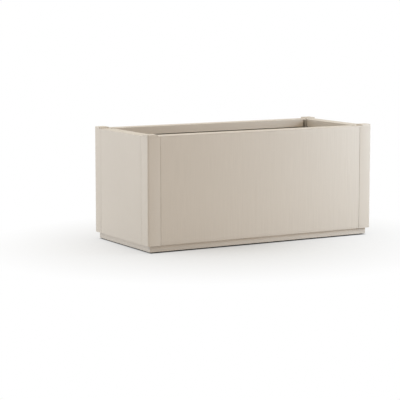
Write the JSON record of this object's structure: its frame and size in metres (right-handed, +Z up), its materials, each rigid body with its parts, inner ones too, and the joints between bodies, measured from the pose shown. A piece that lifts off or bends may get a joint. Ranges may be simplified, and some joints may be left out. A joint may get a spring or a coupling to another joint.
{
  "type": "rectangular floor planter",
  "caption": "Long low rectangular floor planter with flat wide rim, raised corner caps, recessed plinth and a lift-out soil liner with drain bungs.",
  "frame": {"origin": "on the floor under the middle of the planter", "axes": "+X along the length, towards the right of someone who faces the front; +Y from the front to the back; +Z up"},
  "size_m": [0.9, 0.4, 0.397],
  "materials": {
    "paint": "beige powder coat, fine satin texture",
    "grain_paint": "beige powder coat over a fine upright grain",
    "cap": "beige moulded cap, satin",
    "inner_frame": "beige powder coat, thin",
    "liner": "beige moulded plastic, matt",
    "plug": "black glass-filled nylon",
    "rubber": "black rubber, matt",
    "steel": "stainless steel"
  },
  "bodies": {
    "planter": {"corner_post_front_left": "paint", "corner_post_front_right": "paint", "corner_post_back_left": "paint", "corner_post_back_right": "paint", "corner_cap_front_left": "cap", "corner_cap_front_right": "cap", "corner_cap_back_left": "cap", "corner_cap_back_right": "cap", "front_panel": "grain_paint", "back_panel": "grain_paint", "left_panel": "paint", "right_panel": "paint", "rim_rail_front": "paint", "rim_rail_back": "paint", "rim_rail_left": "paint", "rim_rail_right": "paint", "base_rail_front": "inner_frame", "base_rail_back": "inner_frame", "base_rail_left": "inner_frame", "base_rail_right": "inner_frame", "plinth_rail_front": "paint", "plinth_rail_back": "paint", "plinth_rail_left": "paint", "plinth_rail_right": "paint", "cross_tube_left": "inner_frame", "cross_tube_right": "inner_frame", "floor_plate": "inner_frame", "post_foot_plugs": "plug", "post_bolts": "steel", "glides": "rubber", "panel_screws": "steel", "rim_screws": "steel", "base_screws": "steel", "floor_screws": "steel"},
    "liner": {"liner": "liner"},
    "drain_bung_left": {"drain_bung_left": "rubber"},
    "drain_bung_right": {"drain_bung_right": "rubber"}
  },
  "joints": [
    {"name": "liner_lift", "type": "slide", "parent": "planter", "child": "liner", "axis": [0, 0, 1], "range_m": [0, 0.4]},
    {"name": "drain_bung_left_pull", "type": "slide", "parent": "liner", "child": "drain_bung_left", "axis": [0, 0, 1], "range_m": [0, 0.39]},
    {"name": "drain_bung_right_pull", "type": "slide", "parent": "liner", "child": "drain_bung_right", "axis": [0, 0, 1], "range_m": [0, 0.39]}
  ]
}
